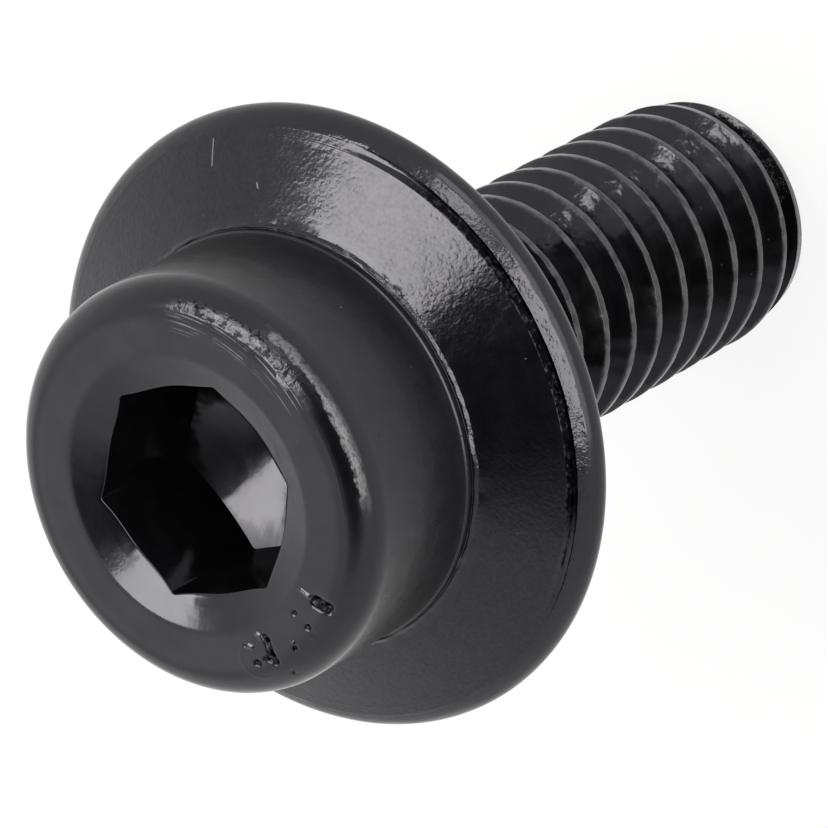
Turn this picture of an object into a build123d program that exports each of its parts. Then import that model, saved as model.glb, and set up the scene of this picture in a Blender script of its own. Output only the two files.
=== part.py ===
# Mower blade bolt, one piece: a round socket head forged in one with a sloping
# collar, and a thread that runs the whole shank. It stands on the thread's end,
# head up: the end face is at z = 0 and the bolt's axis is Z. Sizes are in mm.
# The thread is drawn as the plain cylinder that its crests run on.
import os
from build123d import *

os.makedirs("parts", exist_ok=True)

# --- driving sizes -----------------------------------------------------------
thread_d = 7.94          # 5/16 in, 18 to the inch, left-handed, over the crests
shank_len = 20.0         # thread end to the collar's seat
lead_len = 1.9           # the last turn or so, where the crests fall away
lead_drop = 0.3          # how far the crests fall over that length
tip_chamfer = 0.4        # chamfer at the thread's end face

collar_d = 19.2          # widest, round the rim
collar_h = 1.06          # seat to the crease where the slope meets the rim
rim_w = 0.42             # the crease lies this far inside the rim
rim_round = 0.32         # rounding from the seat up to the rim
crease_dip = 0.06        # depth of the fine crease between slope and rim
slope_rise = 1.1         # rise of the slope from the crease to the step

head_d = 12.7            # round head
head_h = 7.5             # seat to the head's end face
head_round = 1.2         # rounded edge of the end face
step_w = 0.4             # ledge left by the forging die round the head's foot
step_h = 0.16            # height of that ledge
foot_fillet = 0.2        # small fillet from the ledge into the head

key_af = 6.05            # hexagon socket across flats, for a 6 mm key
key_depth = 4.45         # end face to the edge of the socket's floor
key_corner = 0.1         # corner rounding of the socket
key_cone = 1.1           # drill point left at the middle of the socket's floor
sink_d = 8.5             # mouth of the countersink round the socket
sink_depth = 0.5         # depth at which its cone reaches the flats

# --- derived levels ----------------------------------------------------------
thread_r = thread_d / 2
collar_r = collar_d / 2
head_r = head_d / 2
key_r = key_af / 2
key_corner_r = key_af / 3 ** 0.5
seat_z = shank_len
top_z = seat_z + head_h
crease_r = collar_r - rim_w
crease_z = seat_z + collar_h
step_r = head_r + step_w
step_z = crease_z + slope_rise
ledge_z = step_z + step_h
floor_z = top_z - key_depth
tip_r = thread_r - lead_drop - tip_chamfer

with BuildPart() as bolt:
    # head, collar and shank, turned about Z
    with BuildSketch(Plane.XZ):
        with BuildLine():
            shank = Polyline(
                (0, 0),
                (tip_r, 0),
                (tip_r + tip_chamfer, tip_chamfer),
                (thread_r, lead_len),
                (thread_r, seat_z),
                (collar_r - rim_round, seat_z),
            )
            under = RadiusArc(shank @ 1, (collar_r, seat_z + rim_round), -rim_round)
            over = TangentArc(under @ 1, (crease_r, crease_z), tangent=(0, 1))
            slope = Polyline(
                over @ 1,
                (crease_r - crease_dip, crease_z - crease_dip),
                (step_r, step_z),
                (step_r, ledge_z),
                (head_r + foot_fillet, ledge_z),
            )
            foot = RadiusArc(slope @ 1, (head_r, ledge_z + foot_fillet), foot_fillet)
            side = Line(foot @ 1, (head_r, top_z - head_round))
            edge = RadiusArc(side @ 1, (head_r - head_round, top_z), -head_round)
            Polyline(edge @ 1, (0, top_z), (0, 0))
        make_face()
    revolve(axis=Axis.Z)

    # hexagon socket, two of its corners on the X axis
    with BuildSketch(Plane.XY.offset(floor_z)):
        key = RegularPolygon(radius=key_corner_r, side_count=6)
        fillet(key.vertices(), radius=key_corner)
    extrude(amount=key_depth + 1, mode=Mode.SUBTRACT)

    # the drill point in the socket's floor, and the countersink round its mouth
    with Locations((0, 0, floor_z)):
        Cone(
            bottom_radius=0,
            top_radius=key_r - 0.02,
            height=key_cone,
            align=(Align.CENTER, Align.CENTER, Align.MAX),
            mode=Mode.SUBTRACT,
        )
    with Locations((0, 0, top_z)):
        Cone(
            bottom_radius=key_r,
            top_radius=sink_d / 2,
            height=sink_depth,
            align=(Align.CENTER, Align.CENTER, Align.MAX),
            mode=Mode.SUBTRACT,
        )

bolt.part.label = "blade_bolt"
export_step(bolt.part, "parts/blade_bolt.step")
print("blade_bolt", round(bolt.part.volume, 2), "mm3, valid", bolt.part.is_valid)
print(bolt.part.bounding_box())
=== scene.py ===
from math import atan2, ceil, cos, degrees, exp, hypot, pi, radians, sin, sqrt, tan

import bmesh
import bpy
from mathutils import Matrix, Vector, noise


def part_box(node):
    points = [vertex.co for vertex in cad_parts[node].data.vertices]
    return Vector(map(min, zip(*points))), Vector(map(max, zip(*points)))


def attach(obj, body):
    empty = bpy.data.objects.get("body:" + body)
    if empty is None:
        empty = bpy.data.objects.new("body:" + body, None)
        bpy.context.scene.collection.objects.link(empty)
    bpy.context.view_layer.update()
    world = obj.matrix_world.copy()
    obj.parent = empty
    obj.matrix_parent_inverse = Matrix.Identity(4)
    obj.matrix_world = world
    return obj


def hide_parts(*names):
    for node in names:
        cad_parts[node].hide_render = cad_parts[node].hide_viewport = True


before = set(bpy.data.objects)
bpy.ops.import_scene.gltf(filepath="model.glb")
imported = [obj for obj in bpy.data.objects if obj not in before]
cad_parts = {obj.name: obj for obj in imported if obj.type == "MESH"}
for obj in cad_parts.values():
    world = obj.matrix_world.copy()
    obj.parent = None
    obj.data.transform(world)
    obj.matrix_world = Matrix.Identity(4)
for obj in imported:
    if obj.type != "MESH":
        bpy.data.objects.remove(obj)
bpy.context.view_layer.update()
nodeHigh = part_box("blade_bolt")[1]
print("frame loaded")

mm = 0.001    # the bolt is modelled in millimetres and brought to metres at the end

# helpers for modelling


def deselectAll():
    if bpy.context.object and bpy.context.object.mode != "OBJECT":
        bpy.ops.object.mode_set(mode="OBJECT")
    bpy.ops.object.select_all(action="DESELECT")


def makeActive(piece):
    deselectAll()
    piece.select_set(True)
    bpy.context.view_layer.objects.active = piece


def polar(p):
    return hypot(p.x, p.y), atan2(p.y, p.x), p.z


def fromPolar(r, a, z):
    return Vector((r * cos(a), r * sin(a), z))


def selectWhere(test):
    # picks vertices of the open mesh by radius, angle and height
    bpy.ops.mesh.select_mode(type="VERT")
    bpy.ops.mesh.select_all(action="DESELECT")
    mesh = bmesh.from_edit_mesh(bpy.context.object.data)
    for v in mesh.verts:
        v.select = test(*polar(v.co))
    mesh.select_flush(True)
    bmesh.update_edit_mesh(bpy.context.object.data)


def selectOpenEdges():
    bpy.ops.mesh.select_mode(type="EDGE")
    bpy.ops.mesh.select_all(action="DESELECT")
    bpy.ops.mesh.select_non_manifold(use_wire=False, use_multi_face=False,
                                     use_non_contiguous=False, use_verts=False)


def extrudeInPlace():
    # the new edges are moved or merged by the next step
    bpy.ops.mesh.extrude_edges_move(TRANSFORM_OT_translate={"value": (0, 0, 0)})


def reshape(rule):
    # moves the picked vertices by a rule on radius, angle and height
    mesh = bmesh.from_edit_mesh(bpy.context.object.data)
    for v in mesh.verts:
        if v.select:
            v.co = fromPolar(*rule(*polar(v.co)))
    bmesh.update_edit_mesh(bpy.context.object.data)


def pushOut(amount):
    # moves the picked vertices along their normals, by an amount that depends on place
    mesh = bmesh.from_edit_mesh(bpy.context.object.data)
    mesh.normal_update()
    shifts = [(v, v.normal * amount(v.co)) for v in mesh.verts if v.select]
    for v, shift in shifts:
        v.co += shift
    bmesh.update_edit_mesh(bpy.context.object.data)


def refine(test):
    # divides the faces whose middle passes a test on place
    bpy.ops.mesh.select_mode(type="FACE")
    bpy.ops.mesh.select_all(action="DESELECT")
    mesh = bmesh.from_edit_mesh(bpy.context.object.data)
    for f in mesh.faces:
        f.select = test(f.calc_center_median())
    bmesh.update_edit_mesh(bpy.context.object.data)
    bpy.ops.mesh.subdivide(number_cuts=1)


def roundedPath(corners):
    # (radius, height, rounding, spacing after it) to points, with an arc at each rounded corner
    path = []
    for i, (r, z, rounding, spacing) in enumerate(corners):
        here = Vector((r, z))
        if rounding and 0 < i < len(corners) - 1:
            back = (Vector(corners[i - 1][:2]) - here).normalized()
            ahead = (Vector(corners[i + 1][:2]) - here).normalized()
            half = back.angle(ahead) / 2
            centre = here + (back + ahead).normalized() * rounding / sin(half)
            first = here + back * rounding / tan(half)
            last = here + ahead * rounding / tan(half)
            sweep = pi - 2 * half
            stepTurn = radians(7 if rounding > 0.4 else 26)    # wide arcs are drawn finer
            count = max(2, ceil(sweep / stepTurn))
            sign = 1 if (first - centre).cross(last - centre) > 0 else -1
            for k in range(count + 1):
                swing = Matrix.Rotation(sign * sweep * k / count, 2)
                path.append(centre + swing @ (first - centre))
        else:
            path.append(here)
        if i < len(corners) - 1:
            path.append(spacing)
    points = [path[0]]
    for k, item in enumerate(path[1:], 1):
        if isinstance(item, float):
            ahead = path[k + 1]
            run = ahead - points[-1]
            steps = max(1, ceil(run.length / item))
            start = points[-1].copy()
            points += [start + run * n / steps for n in range(1, steps)]
        else:
            points.append(item)
    return points


def drawLine(name, points):
    # a plane is merged to a single vertex, which is drawn out through the points
    deselectAll()
    bpy.ops.mesh.primitive_plane_add(size=1)
    piece = bpy.context.object
    piece.name = name
    bpy.ops.object.mode_set(mode="EDIT")
    bpy.ops.mesh.select_mode(type="VERT")
    bpy.ops.mesh.select_all(action="SELECT")
    bpy.ops.mesh.merge(type="CENTER")
    bpy.ops.transform.translate(value=(points[0].x, 0, points[0].y))
    for here, ahead in zip(points, points[1:]):
        bpy.ops.mesh.extrude_vertices_move(
            TRANSFORM_OT_translate={"value": (ahead.x - here.x, 0, ahead.y - here.y)})
    return piece


def drawAndSpin(name, points, steps):
    piece = drawLine(name, points)
    bpy.ops.mesh.select_all(action="SELECT")
    bpy.ops.mesh.spin(steps=steps, angle=2 * pi, center=(0, 0, 0), axis=(0, 0, 1))
    bpy.ops.mesh.select_all(action="SELECT")
    bpy.ops.mesh.remove_doubles(threshold=0.0005)
    return piece


def applyBoolean(piece, other, operation):
    makeActive(piece)
    cut = piece.modifiers.new(operation.lower(), "BOOLEAN")
    cut.operation = operation
    cut.solver = "EXACT"
    cut.object = other
    bpy.ops.object.modifier_apply(modifier=cut.name)
    bpy.data.objects.remove(other, do_unlink=True)


def grain(place, size, layer=0.0):
    # smooth irregular value from about -1 to 1, with lumps of the given size in millimetres
    return noise.fractal(place / size + Vector((layer, 2 * layer, -layer)), 0.7, 2.0, 3)


def ease(value, low, high):
    part = min(1, max(0, (value - low) / (high - low)))
    return part * part * (3 - 2 * part)


def window(value, low, high, soft):
    return ease(value, low - soft, low + soft) * (1 - ease(value, high - soft, high + soft))


def bell(away, width):
    return exp(-(away / width) ** 2)


# head, collar and socket, in millimetres
head = {
    "segments": 336,
    "sinkR": 4.25, "sinkSlope": 22, "sinkRound": 0.48, "sinkTurned": 0.35,
    "headR": 6.35, "easyWidth": 0.991, "easyRound": 1.64, "edgeDrop": 0.247, "edgeRound": 1.042,
    "footZ": 22.35, "stepWidth": 0.05, "stepHigh": 0.25, "ledgeR": 6.48, "ledgeFlare": 0.075,
    "slopeEnd": 21.01, "slopeFall": 0.4894,
    "creaseR": 9.10, "creaseZ": 20.965, "creaseWidth": 0.26, "beadR": 9.16, "beadRise": 0.065,
    "facetR": 9.45, "facetZ": 20.748, "rimZ": 20.605, "rimRound": 0.5,
    "seatZ": 20.0, "seatRound": 0.32,
    "keyAcross": 6.05, "keyCorner": 0.1, "keyDepth": 4.45, "keyBow": 0.12, "bowDepth": 2.8,
    # depth under the socket's mouth, and how far it is worn wider there
    "keyLevels": ((0, 0.045), (0.006, 0.016), (0.025, 0.003), (0.06, 0), (1.4, 0), (2.8, 0)),
    "pointSlope": 20, "floorRings": (0.97, 0.8, 0.6, 0.4, 0.2, 0.08),
}
topZ, collarR = nodeHigh.z / mm, nodeHigh.x / mm
headR, footZ, ledgeR = head["headR"], head["footZ"], head["ledgeR"]
creaseR, creaseZ, seatZ = head["creaseR"], head["creaseZ"], head["seatZ"]
keyR = head["keyAcross"] / 2
sinkFall = tan(radians(head["sinkSlope"]))
pointFall = tan(radians(head["pointSlope"]))


def slopeZ(r):
    return head["slopeEnd"] + (creaseR - r) * head["slopeFall"]


sinkStart = (head["sinkR"] - head["sinkTurned"], topZ - head["sinkTurned"] * sinkFall)
flareR, slopeR = ledgeR + head["ledgeFlare"], creaseR - head["creaseWidth"]
corners = [
    (*sinkStart, 0, 0.08),
    (head["sinkR"], topZ, head["sinkRound"], 0.1),
    (headR - head["easyWidth"], topZ, head["easyRound"], 0.1),
    (headR, topZ - head["edgeDrop"], head["edgeRound"], 0.45),
    (headR, footZ + head["stepHigh"], 0.03, 0.05),    # small step and ledge at the head's foot
    (headR + 0.045, footZ + 0.20, 0.015, 0.05),
    (headR + head["stepWidth"], footZ - 0.02, 0.02, 0.05),
    (ledgeR - 0.02, footZ, 0.02, 0.05),
    (flareR, slopeZ(flareR), 0.03, 0.22),
    (slopeR, slopeZ(slopeR), 0.02, 0.05),             # crease inside the rim
    (creaseR - 0.14, creaseZ - 0.02, 0.04, 0.05),
    (creaseR - 0.02, creaseZ - 0.03, 0.03, 0.05),
    (head["beadR"], creaseZ + head["beadRise"], 0, 0.09),
    (head["facetR"], head["facetZ"], head["rimRound"], 0.09),
    (collarR, head["rimZ"] - 0.10, head["rimRound"], 0.1),
    (collarR, seatZ, head["seatRound"], 2.0),
    (3.0, seatZ, 0, 3.0),                             # the seat, closed at the axis
    (0, seatZ, 0, 1.0),
]
body = drawAndSpin("bladeBolt", roundedPath(corners), head["segments"])

# the hexagon starts as six points, its corners are rounded and its sides divided
deselectAll()
bpy.ops.mesh.primitive_circle_add(vertices=6, radius=head["keyAcross"] / sqrt(3),
                                  location=(0, 0, 0), rotation=(0, 0, radians(30)))
socket = bpy.context.object
bpy.ops.object.transform_apply(rotation=True)
bpy.ops.object.mode_set(mode="EDIT")
bpy.ops.mesh.select_all(action="SELECT")
bpy.ops.mesh.bevel(offset=head["keyCorner"], segments=4, affect="VERTICES")
mesh = bmesh.from_edit_mesh(socket.data)
for e in mesh.edges:
    e.select = e.calc_length() > 1
bmesh.update_edit_mesh(socket.data)
bpy.ops.mesh.subdivide(number_cuts=head["segments"] // 6 - 5)    # each corner has five points
bpy.ops.mesh.select_all(action="SELECT")

# the mouth is a little worn and lies on the countersink's cone; the broached walls belly out
# between the corners, most at the mouth
bow = worn = 0
for level, wear in head["keyLevels"]:
    if level:
        extrudeInPlace()
    swell = head["keyBow"] * (1 - level / head["bowDepth"]) ** 2 - bow
    spread = wear - worn
    bow, worn = bow + swell, wear
    reshape(lambda r, a, z: (r + swell * (1 - cos(6 * a)) / 2 + spread, a, z))
    reshape(lambda r, a, z: (r, a, topZ - (head["sinkR"] - r) * sinkFall * (1 - level / 4) - level))

# the floor follows the drill point's cone to its middle
extrudeInPlace()
floorZ = topZ - head["keyDepth"]
reshape(lambda r, a, z: (r, a, floorZ + (r - keyR) * pointFall))
for shrink in head["floorRings"]:
    extrudeInPlace()
    reach = keyR * shrink
    pull = 0.15 if shrink > 0.9 else 1    # the first ring still follows the hexagon
    reshape(lambda r, a, z: (r + (reach - r) * pull, a, z))
    reshape(lambda r, a, z: (r, a, floorZ + (r - keyR) * pointFall))
extrudeInPlace()
bpy.ops.mesh.merge(type="CENTER")
print("socket drawn")

# socket and turned body become one, joined across the countersink
bpy.ops.object.mode_set(mode="OBJECT")
body.select_set(True)
bpy.context.view_layer.objects.active = body
bpy.ops.object.join()
bpy.ops.object.mode_set(mode="EDIT")
selectOpenEdges()
bpy.ops.mesh.bridge_edge_loops(number_cuts=5, interpolation="LINEAR", smoothness=0)
bpy.ops.mesh.select_all(action="SELECT")
bpy.ops.mesh.normals_make_consistent(inside=False)
bpy.ops.object.mode_set(mode="OBJECT")
print("head closed", len(body.data.polygons))

# thread, rolled left-handed
thread = {
    "steps": 120, "pitch": 1.411, "turns": 18, "startTurns": 3.5, "crestR": 3.97, "depth": 0.80,
    "crestFlat": 0.23, "rootFlat": 0.32, "crestAt": 1.246, "hand": -1,
    "crestRound": 0.035, "rootRound": 0.05, "crestWear": 0.02, "crestWander": 0.03,
    "tipR": 3.27, "tipChamfer": 0.4, "leadR": 3.67, "lead": 1.9, "lastTurnLift": 0.25,
    "blankR": 4.3, "blankFlare": 1.5, "intoCollar": 0.6,
}
pitch, crestR = thread["pitch"], thread["crestR"]
rootR = crestR - thread["depth"]
halfCrest, halfRoot = thread["crestFlat"] / 2, thread["rootFlat"] / 2
low = thread["crestAt"] - thread["startTurns"] * pitch
turnCorners = [
    (rootR, low, 0, 1.0),
    (rootR, low + halfRoot, thread["rootRound"], 1.0),
    (crestR, low + pitch / 2 - halfCrest, thread["crestRound"], 0.2),
    (crestR, low + pitch / 2 + halfCrest, thread["crestRound"], 1.0),
    (rootR, low + pitch - halfRoot, thread["rootRound"], 1.0),
    (rootR, low + pitch, 0, 1.0),
]
shank = drawLine("shank", roundedPath(turnCorners))
bpy.ops.object.mode_set(mode="OBJECT")
turns = shank.modifiers.new("turns", "SCREW")
turns.axis = "Z"
turns.angle = 2 * pi * thread["hand"]
turns.screw_offset = pitch
turns.iterations = thread["turns"]
turns.steps = turns.render_steps = thread["steps"]
turns.use_merge_vertices = True
turns.merge_threshold = 0.001
bpy.ops.object.modifier_apply(modifier="turns")
bpy.ops.object.mode_set(mode="EDIT")
bpy.ops.mesh.select_all(action="SELECT")
bpy.ops.mesh.remove_doubles(threshold=0.001)


def unevenCrest(r, a, z):
    # crests vary in width and height, and the last turn runs out closer to the one before
    place = fromPolar(r, a, z)
    crest = ease(r, crestR - 0.06, crestR - 0.01)
    if z < thread["lead"]:
        z += thread["lastTurnLift"] * (1 - z / thread["lead"]) ** 2
    wander = thread["crestWander"] * grain(place, 0.45, 3) + 0.02 * grain(place, 1.4, 6)
    return r - crest * thread["crestWear"] * abs(grain(place, 0.6, 1)), a, z + crest * wander


reshape(unevenCrest)

# both open ends are drawn in to the axis, outside the length that is kept
shankMiddle = 10
for end in (-1, 1):
    selectOpenEdges()
    mesh = bmesh.from_edit_mesh(shank.data)
    for e in mesh.edges:
        if e.select and (e.verts[0].co.z - shankMiddle) * end < 0:
            e.select = False
    bmesh.update_edit_mesh(shank.data)
    extrudeInPlace()
    bpy.ops.mesh.merge(type="CENTER")
bpy.ops.mesh.select_all(action="SELECT")
bpy.ops.mesh.normals_make_consistent(inside=False)
bpy.ops.object.mode_set(mode="OBJECT")
print("thread swept", len(shank.data.polygons))

blankTop = seatZ + thread["intoCollar"]
blankLine = [Vector(p) for p in (
    (0, 0), (thread["tipR"], 0), (thread["leadR"], thread["tipChamfer"]),
    (crestR, thread["lead"]), (thread["blankR"], thread["lead"] + thread["blankFlare"]),
    (thread["blankR"], blankTop), (0, blankTop))]
blank = drawAndSpin("blank", blankLine, thread["steps"])
bpy.ops.mesh.normals_make_consistent(inside=False)
applyBoolean(shank, blank, "INTERSECT")
print("thread trimmed", len(shank.data.polygons))

applyBoolean(body, shank, "UNION")
print("head and thread joined", len(body.data.polygons))
makeActive(body)
bpy.ops.object.mode_set(mode="EDIT")
bpy.ops.mesh.select_all(action="SELECT")
bpy.ops.mesh.remove_doubles(threshold=0.0001)

# wear and forging marks on the head, in millimetres and degrees round the axis
marks = {
    # pits, grooves and raised lips in the end face: from, to, half width, height
    "strokes": (
        (-4.82, -1.47, -5.20, -1.65, 0.14, -0.19), (-4.97, -1.61, -5.00, -1.62, 0.06, 0.10),
        (-4.30, -1.29, -4.64, -1.41, 0.06, 0.05),
        (-4.52, 0.93, -4.66, 0.93, 0.07, -0.09), (-4.66, 0.94, -5.07, 1.14, 0.085, -0.13),
        (-5.07, 1.16, -5.28, 1.18, 0.10, -0.13), (-4.34, 1.08, -4.46, 1.03, 0.07, 0.045),
        (-4.40, 1.62, -4.50, 1.56, 0.07, 0.045), (-4.33, 1.72, -4.34, 1.72, 0.05, -0.04),
        (-4.93, 1.76, -5.00, 1.72, 0.09, -0.09), (-5.08, 1.28, -5.12, 1.30, 0.09, -0.06),
        (-4.99, 1.41, -5.02, 1.44, 0.09, -0.04), (-4.63, -0.56, -4.65, -0.57, 0.07, -0.07),
        (-5.18, -0.63, -5.21, -0.64, 0.08, -0.09), (-5.37, 0.25, -5.40, 0.27, 0.09, -0.06),
        (-5.23, 0.17, -5.26, 0.18, 0.05, 0.05), (-5.82, 1.04, -5.83, 1.05, 0.06, -0.05),
        (-4.52, -0.30, -4.88, -0.36, 0.022, 0.006), (-5.46, -0.44, -5.56, -0.50, 0.035, 0.012),
    ),
    "lipAt": (-4.98, -1.60),
    "ringAt": (-4.86, 1.62), "ringR": 0.63, "ringHeight": 0.008, "ringWidth": 0.03,
    # scuffs along the head's edge: their radius goes from one value to the other over "bend"
    "ridge": {"turns": (-126, -73), "bend": (-97, -78), "radii": (6.08, 6.13),
              "width": 0.07, "lift": 0.014},
    "patches": {"turns": (-88, -44), "bend": (-86, -70), "radii": (5.70, 5.84),
                "width": 0.08, "lift": 0.008},
    "fineR": (5.55, 6.28), "fineTurn": (-130, -38),    # faces divided for the scuffs
    # middles of the edge's two arcs: an easy one for its first 14 degrees, then a tighter one
    "easyMidR": 5.158, "edgeMidZ": 26.438, "easyTurn": 14,
}
ridge, patches = marks["ridge"], marks["patches"]
easyMid = Vector((marks["easyMidR"], topZ - head["easyRound"]))
edgeMid = Vector((headR - head["edgeRound"], marks["edgeMidZ"]))


def ontoEdge(r, a, z):
    # brings new points on the head's rounded edge back to its curves
    onTight = atan2(r - edgeMid.x, z - edgeMid.y) > radians(marks["easyTurn"])
    for mid, radius, fits in ((edgeMid, head["edgeRound"], onTight),
                              (easyMid, head["easyRound"], z > topZ - 0.07)):
        if fits and r > mid.x and z > mid.y:
            out = radius / hypot(r - mid.x, z - mid.y)
            return mid.x + (r - mid.x) * out, a, mid.y + (z - mid.y) * out
    return r, a, z


def ringGap(p):
    return hypot(p.x - marks["ringAt"][0], p.y - marks["ringAt"][1]) - marks["ringR"]


def strokeHeight(p, stroke):
    x0, y0, x1, y1, width, height = stroke
    along = Vector((x1 - x0, y1 - y0))
    offset = Vector((p.x - x0, p.y - y0))
    t = min(1, max(0, offset.dot(along) / along.length_squared))
    return height * bell((offset - along * t).length, width)


def nearStroke(p):
    # a stroke's height comes last in its row
    return p.z > topZ - 0.6 and -6 < p.x < -4 and max(
        abs(strokeHeight(p, stroke) / stroke[-1]) for stroke in marks["strokes"]) > 0.02


def nearEndMark(p):
    return nearStroke(p) or (p.z > topZ - 0.6 and abs(ringGap(p)) < 2 * marks["ringWidth"])


def nearScuff(p):
    r, a, z = polar(p)
    (inner, outer), (first, last) = marks["fineR"], marks["fineTurn"]
    return z > topZ - 1.0 and inner < r < outer and first < degrees(a) < last


def endMarks(p):
    strokes = sum(strokeHeight(p, stroke) for stroke in marks["strokes"])
    return (strokes * (1 + 0.3 * grain(p, 0.3, 3))
            + marks["ringHeight"] * bell(ringGap(p), marks["ringWidth"]))


def scuffs(p):
    # an uneven ridge round the outside and low patches further in
    r, a, z = polar(p)
    turn = degrees(a)
    r += 0.03 * grain(Vector((turn / 6, 0, 0)), 1, 5) + 0.015 * grain(p, 0.25, 6)
    height = 0
    for scuff in (ridge, patches):
        near, far = scuff["radii"]
        middle = near + (far - near) * ease(turn, *scuff["bend"])
        part = window(turn, *scuff["turns"], 1.5) * (0.7 + 0.9 * grain(p, 0.3, 7))
        height += scuff["lift"] * part * bell(r - middle, scuff["width"])
    return height


for tests, rule in (((nearEndMark, nearEndMark, nearStroke), endMarks),
                    ((nearScuff, nearScuff), scuffs)):
    for test in tests:
        refine(test)
        reshape(ontoEdge)
    selectWhere(lambda r, a, z: z > topZ - 1.0 and 4.2 < r < 6.3)
    pushOut(rule)
    print("marks pressed in", len(bmesh.from_edit_mesh(body.data).faces))

# the die left an uneven ledge at the head's foot and an uneven crease inside the rim
die = {
    "ledgeR": (6.4, 6.64), "ledgeZ": (22.18, 22.42), "ledgeWander": 0.03,
    "nicks": ((-71, -65), (-162, -159)), "nickDepth": 0.05,
    "rimR": (8.85, 9.7), "rimZ": (20.3, 21.2), "rimMid": (8.74, 20.343),
    # round the back the crease fades out and the rim is a plain rounding
    "creaseTurns": (-160, -62, 10), "plainRound": 0.86, "plainFlat": 0.105,
    "grooveWander": 0.03, "grooveSink": 0.02, "beadWander": 0.015,
}
rimMid = Vector(die["rimMid"])


def inRing(radii, levels):
    return lambda r, a, z: radii[0] < r < radii[1] and levels[0] < z < levels[1]


def unevenLedge(r, a, z):
    place = fromPolar(r, a, z)
    part = ease(r, 6.40, 6.46)
    nick = sum(window(degrees(a), *nick, 1) for nick in die["nicks"])
    sway = die["ledgeWander"] * grain(place, 0.8, 1) + 0.012 * grain(place, 0.25, 4)
    rise = 0.02 * grain(place, 0.5, 6) - die["nickDepth"] * nick
    return r + part * sway, a, z + part * rise


def unevenCrease(r, a, z):
    # where the crease fades out, the slope runs straight on into the rim's rounding
    place = fromPolar(r, a, z)
    deep = window(degrees(a), *die["creaseTurns"])
    away, lift = hypot(r - rimMid.x, z - rimMid.y), atan2(z - rimMid.y, r - rimMid.x)
    if r <= creaseR - 0.01:
        z += (1 - deep) * (slopeZ(r) - z)
    elif z > rimMid.y:
        faded = die["plainRound"] - die["plainFlat"] * ease(lift, 0, radians(60))
        away += (1 - deep) * (faded - away)
        r, z = rimMid.x + away * cos(lift), rimMid.y + away * sin(lift)
    groove = bell(r - creaseR + 0.08, 0.09)
    bead = window(r, creaseR + 0.02, 9.42, 0.04)
    sway = (die["grooveWander"] * deep * groove * grain(place, 0.5, 2)
            + die["beadWander"] * bead * grain(place, 0.5, 8))
    rise = (die["beadWander"] * deep * bead * grain(place, 0.35, 5)
            - die["grooveSink"] * deep * groove * grain(place, 0.4, 3))
    return r + sway, a, z + rise


selectWhere(inRing(die["ledgeR"], die["ledgeZ"]))
reshape(unevenLedge)
selectWhere(inRing(die["rimR"], die["rimZ"]))
reshape(unevenCrease)
bpy.ops.object.mode_set(mode="OBJECT")
print("die marks made", len(body.data.polygons))

# to metres, then shading
makeActive(body)
bpy.ops.object.mode_set(mode="EDIT")
bpy.ops.mesh.select_all(action="SELECT")
bpy.ops.transform.resize(value=(mm, mm, mm), center_override=(0, 0, 0))
bpy.ops.object.mode_set(mode="OBJECT")
bpy.ops.object.shade_smooth_by_angle(angle=radians(50))

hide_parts("blade_bolt")
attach(body, "root")

# coating: near-black, a little orange peel, pits and scuffs, all in millimetres on the piece
coat = {
    "colour": (0.0022, 0.0021, 0.0026, 1), "worn": (0.15, 0.148, 0.152, 1),
    "shine": (0.93, 0.91, 1.0, 1), "ior": 1.5, "roughness": 0.155,
    "peelSize": 0.13, "peelDepth": 0.0055, "waveSize": 0.9, "waveDepth": 0.014,
    "drawnSize": 0.13, "drawnDepth": 0.004, "pitDepth": 0.012, "ringDepth": 0.010,
    "lineDepth": 0.004, "scuffDepth": 0.022, "fleckHeight": 0.02, "tipWearDepth": 0.03,
    "flankDepth": 0.005, "flankPatchDepth": 0.022, "easyFall": 0.305,
}
# where marks, wear, painted shade and painted light lie: from, to and softness, in millimetres or
# degrees round the axis
zone = {
    "ledgeR": (6.42, 6.62, 0.04), "ledgeZ": (22.1, 22.5, 0.05),
    "rimR": (9.08, 9.42, 0.05), "rimTurn": (-150, -50, 12),
    "lineR": (4.98, 5.60, 0.08), "lineTurn": (-94, -43, 5),
    "scuffR": (5.58, 5.98, 0.05), "scuffTurn": (-88, -44, 4),
    "ridgeTurn": (-126, -74, 1.5), "patchTurn": (-86, -44, 3),
    "ridgeWide": (-123, -98, 3), "ridgeWider": (-84, -74, 2),
    "tipTurn": (-113, -76, 5), "tipZ": (0.3, 1.5, 0.2), "flankTurn": (-82, -54, 8),
    # the next line also holds the radii of the pits' painted shade and of the end face's painted
    # light
    "sideZ": (22.4, 26.4, 0.2), "pitShadeR": (4.4, 5.56, 0.02), "paintedFaceLightR": (4.25, 5.35, 0.15),
    # where the crease gets its painted shade
    "creaseShadeR": (8.84, 9.115, 0.02), "creaseShadeZ": (20.88, 21.25, 0.03), "creaseShadeTurn": (-145, -69, 6),
}
paint = bpy.data.materials.new("blackCoating")
paint.use_nodes = True
nodes, links = paint.node_tree.nodes, paint.node_tree.links
shader = nodes["Principled BSDF"]
shader.inputs["IOR"].default_value = coat["ior"]
shader.inputs["Specular Tint"].default_value = coat["shine"]


def put(socket, value):
    if hasattr(value, "is_output"):
        links.new(value, socket)
    else:
        socket.default_value = value


def maths(operation, *values):
    step = nodes.new("ShaderNodeMath")
    step.operation = operation
    for socket, value in zip(step.inputs, values):
        put(socket, value)
    return step.outputs[0]


def chain(operation, values):
    result = values[0]
    for value in values[1:]:
        result = maths(operation, result, value)
    return result


def total(*values):
    return chain("ADD", values)


def product(*values):
    return chain("MULTIPLY", values)


def highest(*values):
    return chain("MAXIMUM", values)


def minus(value, other):
    return maths("SUBTRACT", value, other)


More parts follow.
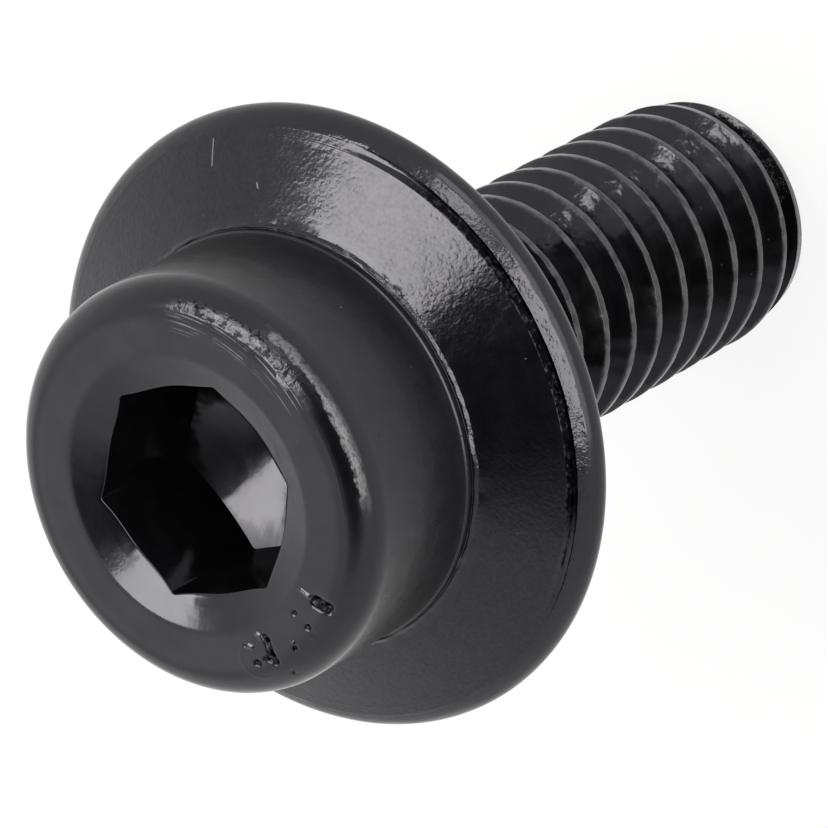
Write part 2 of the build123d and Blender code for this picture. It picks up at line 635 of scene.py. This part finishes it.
def slide(value, low, high, start=0.0, end=1.0):
    step = nodes.new("ShaderNodeMapRange")
    step.interpolation_type = "SMOOTHSTEP"
    for name, number in (("Value", value), ("From Min", low), ("From Max", high),
                         ("To Min", start), ("To Max", end)):
        put(step.inputs[name], number)
    return step.outputs["Result"]


def fade(value, low, high):
    return slide(value, low, high, 1.0, 0.0)


def band(value, low, high, soft):
    return product(slide(value, low - soft, low + soft), fade(value, high - soft, high + soft))


def vector(x, y, z):
    join = nodes.new("ShaderNodeCombineXYZ")
    for socket, value in zip(join.inputs, (x, y, z)):
        put(socket, value)
    return join.outputs[0]


def cloud(place, size, detail=2.0, rough=0.5):
    step = nodes.new("ShaderNodeTexNoise")
    put(step.inputs["Vector"], place)
    step.inputs["Scale"].default_value = 1 / size
    step.inputs["Detail"].default_value = detail
    step.inputs["Roughness"].default_value = rough
    return step.outputs["Fac"]


def dots(place, size, radius, share):
    # round spots in some of the cells of a Voronoi pattern
    cells = nodes.new("ShaderNodeTexVoronoi")
    put(cells.inputs["Vector"], place)
    cells.inputs["Scale"].default_value = 1 / size
    split = nodes.new("ShaderNodeSeparateColor")
    links.new(cells.outputs["Color"], split.inputs[0])
    spot = fade(cells.outputs["Distance"], radius / size * 0.5, radius / size)
    return product(spot, maths("LESS_THAN", split.outputs["Red"], share))


def seam(fromR, fromTurn, toR, toTurn, width):
    # a thin straight line between two places given by radius and angle
    slope = (toTurn - fromTurn) / (toR - fromR)
    aside = minus(turn, total(product(minus(r, fromR), slope), fromTurn))
    off = maths("ABSOLUTE", product(aside, radians(1), r))
    low, high = min(fromR, toR), max(fromR, toR)
    return product(fade(off, width * 0.4, width), band(r, low, high, 0.02))


where = nodes.new("ShaderNodeTexCoord")
mapping = nodes.new("ShaderNodeMapping")
mapping.inputs["Scale"].default_value = (1 / mm, 1 / mm, 1 / mm)
links.new(where.outputs["Object"], mapping.inputs["Vector"])
place = mapping.outputs["Vector"]
split = nodes.new("ShaderNodeSeparateXYZ")
links.new(place, split.inputs[0])
x, y, z = split.outputs
r = maths("SQRT", total(product(x, x), product(y, y)))
turn = product(maths("ARCTAN2", y, x), degrees(1))

onHead = slide(z, 22.4, 22.6)
onEdge = slide(z, 26.6, 26.8)
onSlope = product(slide(z, 20.9, 21.0), fade(z, 22.2, 22.3), slide(r, 6.7, 6.8))
onThread = product(fade(z, 19.9, 20.0), fade(r, 4.0, 4.1))
inSocket = product(slide(z, 22.6, 22.7), fade(r, 3.5, 3.6))

fine = minus(cloud(place, 0.13, 2.0, 0.6), 0.5)
lumps = cloud(place, 0.42, 2.0, 0.55)
lumpsEven = minus(lumps, 0.5)

# relief of the coating, and rough rings at the ledge and on the rim
peel = minus(cloud(place, coat["peelSize"], 1.0, 0.5), 0.5)
peelPart = total(0.35, product(onSlope, 0.75), product(inSocket, -0.3))
wave = minus(cloud(place, coat["waveSize"], 1.0, 0.4), 0.5)
drawn = minus(cloud(vector(x, y, product(z, 0.15)), coat["drawnSize"], 1.0, 0.5), 0.5)
smallPits = dots(place, 0.6, 0.04, 0.3)
roughRings = total(product(band(r, *zone["ledgeR"]), band(z, *zone["ledgeZ"])),
                   product(band(r, *zone["rimR"]), band(turn, *zone["rimTurn"])))

# the scuffed edge: fine lines round the head, that drift inwards, and two rubbed bands
drift = total(r, product(minus(-45.0, turn), 0.007))
lines = cloud(vector(product(drift, 20.0), product(turn, 0.04), 0.0), 1.0, 2.0, 0.6)
lineZone = product(band(r, *zone["lineR"]), band(turn, *zone["lineTurn"]), slide(z, 27.2, 27.3))
scratches = product(slide(lines, 0.53, 0.64), lineZone, slide(lumps, 0.3, 0.5))
ragged = total(r, product(fine, 0.10), product(lumpsEven, 0.16))
outside = maths("ABSOLUTE", minus(ragged, slide(turn, *ridge["bend"], *ridge["radii"])))
inside = maths("ABSOLUTE", minus(ragged, slide(turn, *patches["bend"], *patches["radii"])))
scuffZone = product(band(ragged, *zone["scuffR"]), band(turn, *zone["scuffTurn"]), onEdge)
wide = total(0.03, product(band(turn, *zone["ridgeWide"]), 0.05),
             product(band(turn, *zone["ridgeWider"]), 0.03))
speckle = slide(fine, -0.15, 0.1, 0.3, 1.0)
outerBand = product(fade(outside, wide, total(wide, 0.03)), band(turn, *zone["ridgeTurn"]), speckle)
innerBand = product(fade(inside, 0.05, 0.10), band(turn, *zone["patchTurn"]),
                    slide(lumps, 0.44, 0.56), speckle)
rubbed = product(onEdge, highest(outerBand, innerBand))
fleck = highest(seam(8.94, -23.3, 8.21, -22.5, 0.03), seam(7.61, -35.1, 7.45, -35.5, 0.035))
dust = product(dots(place, 1.3, 0.035, 0.22), total(0.3, onSlope, product(onHead, 0.3)))
tipWear = product(band(turn, *zone["tipTurn"]), band(z, *zone["tipZ"]),
                  slide(total(lumps, fine), 0.5, 0.6))
flanks = total(coat["flankDepth"], product(band(turn, *zone["flankTurn"]), coat["flankPatchDepth"]))

height = total(
    product(peel, coat["peelDepth"], peelPart),
    product(wave, coat["waveDepth"]),
    product(drawn, coat["drawnDepth"], onHead, slide(r, 6.2, 6.3)),
    product(smallPits, -coat["pitDepth"]),
    product(roughRings, fine, coat["ringDepth"]),
    product(lines, lineZone, coat["lineDepth"]),
    product(highest(rubbed, scuffZone), fine, coat["scuffDepth"]),
    product(fleck, coat["fleckHeight"]),
    product(tipWear, -coat["tipWearDepth"]),
    product(onThread, lumps, flanks))
bump = nodes.new("ShaderNodeBump")
bump.inputs["Strength"].default_value = 1.0
bump.inputs["Distance"].default_value = mm
links.new(height, bump.inputs["Height"])
links.new(bump.outputs["Normal"], shader.inputs["Normal"])

# sheen varies a little; worn places and the head's side are rougher
gloss = total(coat["roughness"], product(lumpsEven, 0.14),
              product(highest(rubbed, scuffZone, scratches), 0.12), product(inSocket, -0.05),
              product(slide(r, 6.25, 6.33), band(z, *zone["sideZ"]), 0.14))
put(shader.inputs["Roughness"], gloss)

# the pits' insides are painted black as shade, but not the raised lip in one of them: they lie under
# the end face, which falls away towards its edge
fall = highest(minus(r, marks["easyMidR"]), 0.0)
depth = minus(topZ, total(z, product(fall, fall, coat["easyFall"])))
lipX, lipY = (maths("POWER", total(part, -middle), 2) for part, middle in zip((x, y), marks["lipAt"]))
lipGap = maths("SQRT", total(lipX, lipY))
# painted shade: near-black metallic takes the reflection out of the pits
pitShade = product(slide(depth, 0.01, 0.03), slide(lipGap, 0.05, 0.085), band(r, *zone["pitShadeR"]),
                fade(x, -4.1, -4.0), slide(fine, -0.2, 0.1, 1.0, 0.7))

# painted shade in the crease, gaps in the scuffs, a mottled slope and painted shade on the thread's
# flanks
edgeR = total(r, product(fine, 0.10), product(lumpsEven, 0.08))
# painted shade: the crease inside the rim loses its reflection and looks dark
creaseShade = product(band(edgeR, *zone["creaseShadeR"]), band(z, *zone["creaseShadeZ"]),
                band(turn, *zone["creaseShadeTurn"]), slide(fine, -0.25, 0.0, 0.55, 1.0))
gaps = product(scuffZone, slide(cloud(place, 0.26, 2.0, 0.6), 0.50, 0.58, 0.0, 0.8))
mottle = product(onSlope, slide(fine, -0.15, 0.2, 0.0, 0.16))
# painted shade on the thread's flanks between the crests, deepest on the side below about -118
# degrees
threadShade = product(onThread, fade(r, 3.86, 3.92), slide(turn, -118, -100, 0.5, 0.16))
# metallic with the near-black colour takes the reflection away: painted shade in the pits, the crease
# and on the thread's flanks, and random in the scuff gaps and on the slope
put(shader.inputs["Metallic"], highest(pitShade, gaps, creaseShade, mottle, threadShade))

# colour: bare or rubbed spots are grey, and the flat of the end face is painted a little lighter as
# painted light
crests = product(onThread, slide(r, 3.9, 3.95), slide(lumps, 0.35, 0.6))
# painted light: the flat of the end face is made a little lighter in colour
paintedFaceLight = product(slide(z, 27.3, 27.4), band(r, *zone["paintedFaceLightR"]), 0.045)
grey = highest(product(scratches, 0.7), paintedFaceLight, product(rubbed, 0.4), fleck, dust,
               product(crests, 0.2))
tint = nodes.new("ShaderNodeMix")
tint.data_type = "RGBA"
put(tint.inputs["Factor"], grey)
tint.inputs["A"].default_value = coat["colour"]
tint.inputs["B"].default_value = coat["worn"]
shade = nodes.new("ShaderNodeMix")
shade.data_type = "RGBA"
shade.blend_type = "MULTIPLY"
shade.inputs["Factor"].default_value = 1.0
links.new(tint.outputs["Result"], shade.inputs["A"])
put(shade.inputs["B"], slide(cloud(place, 1.5, 2.0, 0.6), 0.3, 0.7, 0.75, 1.25))
links.new(shade.outputs["Result"], shader.inputs["Base Color"])
body.data.materials.clear()
body.data.materials.append(paint)
print("coating made")

# a matte floor that looks nearly white to the camera and in reflections
ground = {"size": 8, "colour": (0.5, 0.5, 0.5, 1), "roughness": 0.9, "glow": 1.05, "share": 0.8}
deselectAll()
bpy.ops.mesh.primitive_plane_add(size=ground["size"], location=(0, 0, 0))
floor = bpy.context.object
floor.name = "floor"
floorPaint = bpy.data.materials.new("paleFloor")
floorPaint.use_nodes = True
nodes, links = floorPaint.node_tree.nodes, floorPaint.node_tree.links
matte = nodes["Principled BSDF"]
matte.inputs["Base Color"].default_value = ground["colour"]
matte.inputs["Roughness"].default_value = ground["roughness"]
glow = nodes.new("ShaderNodeEmission")
glow.inputs["Strength"].default_value = ground["glow"]
path = nodes.new("ShaderNodeLightPath")
seen = highest(path.outputs["Is Camera Ray"], path.outputs["Is Glossy Ray"])
blend = nodes.new("ShaderNodeMixShader")
put(blend.inputs[0], product(seen, ground["share"]))
links.new(matte.outputs[0], blend.inputs[1])
links.new(glow.outputs[0], blend.inputs[2])
links.new(blend.outputs[0], nodes["Material Output"].inputs["Surface"])
floor.data.materials.append(floorPaint)

# white walls all round, one of them a little brighter, and a darker ceiling behind and above
world = bpy.data.worlds.new("studio")
bpy.context.scene.world = world
world.use_nodes = True
nodes, links = world.node_tree.nodes, world.node_tree.links
look = nodes.new("ShaderNodeTexCoord")


def facing(direction):
    # 1 straight along the direction, 0 square to it
    aim = nodes.new("ShaderNodeVectorMath")
    aim.operation = "DOT_PRODUCT"
    aim.inputs[1].default_value = direction
    links.new(look.outputs["Generated"], aim.inputs[0])
    return aim.outputs["Value"]


ceiling = slide(facing((-0.276, -0.276, 0.920)), 0.75, 0.99, 0.97, 0.03)
brightWall = slide(facing((0.24, 0.957, 0.162)), 0.35, 1.0, 1.0, 1.15)
rays = nodes.new("ShaderNodeLightPath")
backdrop = nodes["Background"]
put(backdrop.inputs["Strength"], highest(product(ceiling, brightWall), rays.outputs["Is Camera Ray"]))
backdrop.inputs["Color"].default_value = (1, 1, 1, 1)

# softboxes, all aimed at the bolt: azimuth, elevation, size and brightness
softboxes = {
    "mainBox": (-3, 66, (0.222, 0.215), 8.9),
    "lowStrip": (-115, 38, (0.37, 0.115), 7.0),
    "lowFill": (-108, 20, (0.62, 0.14), 1.8),
    "sideSpot": (-61, 34, (0.112, 0.10), 6.0),
    "rightSpot": (-60, 12, (0.10, 0.10), 2.5),
}
boxAim, boxDistance, boxColour = Vector((0, 0, 0.02)), 0.4, (1, 1, 0.94)
for name, (azimuth, elevation, size, brightness) in softboxes.items():
    around, up = radians(azimuth), radians(elevation)
    away = Vector((cos(around) * cos(up), sin(around) * cos(up), sin(up)))
    deselectAll()
    bpy.ops.object.light_add(type="AREA", location=boxAim + away * boxDistance)
    lamp = bpy.context.object
    lamp.name = name
    lamp.rotation_euler = away.to_track_quat("Z", "Y").to_euler()
    lamp.data.shape = "RECTANGLE"
    lamp.data.size, lamp.data.size_y = size
    lamp.data.energy = brightness * pi * size[0] * size[1]
    lamp.data.color = boxColour
    lamp.visible_camera = False

shot = {
    "place": (-0.03048, -0.14625, 0.18915), "lookAt": (-0.00107, 0.0003, 0.01698),
    "lens": 333.9, "sensor": 36, "roll": -118.9,
}
deselectAll()
bpy.ops.object.camera_add(location=shot["place"])
camera = bpy.context.object
camera.name = "camera"
camera.data.sensor_width = shot["sensor"]
camera.data.lens = shot["lens"]
view = (Vector(shot["lookAt"]) - camera.location).to_track_quat("-Z", "Y").to_matrix()
camera.rotation_euler = (view @ Matrix.Rotation(radians(shot["roll"]), 3, "Z")).to_euler()
bpy.context.scene.camera = camera
bpy.context.scene.view_settings.view_transform = "Standard"
print("scene set")
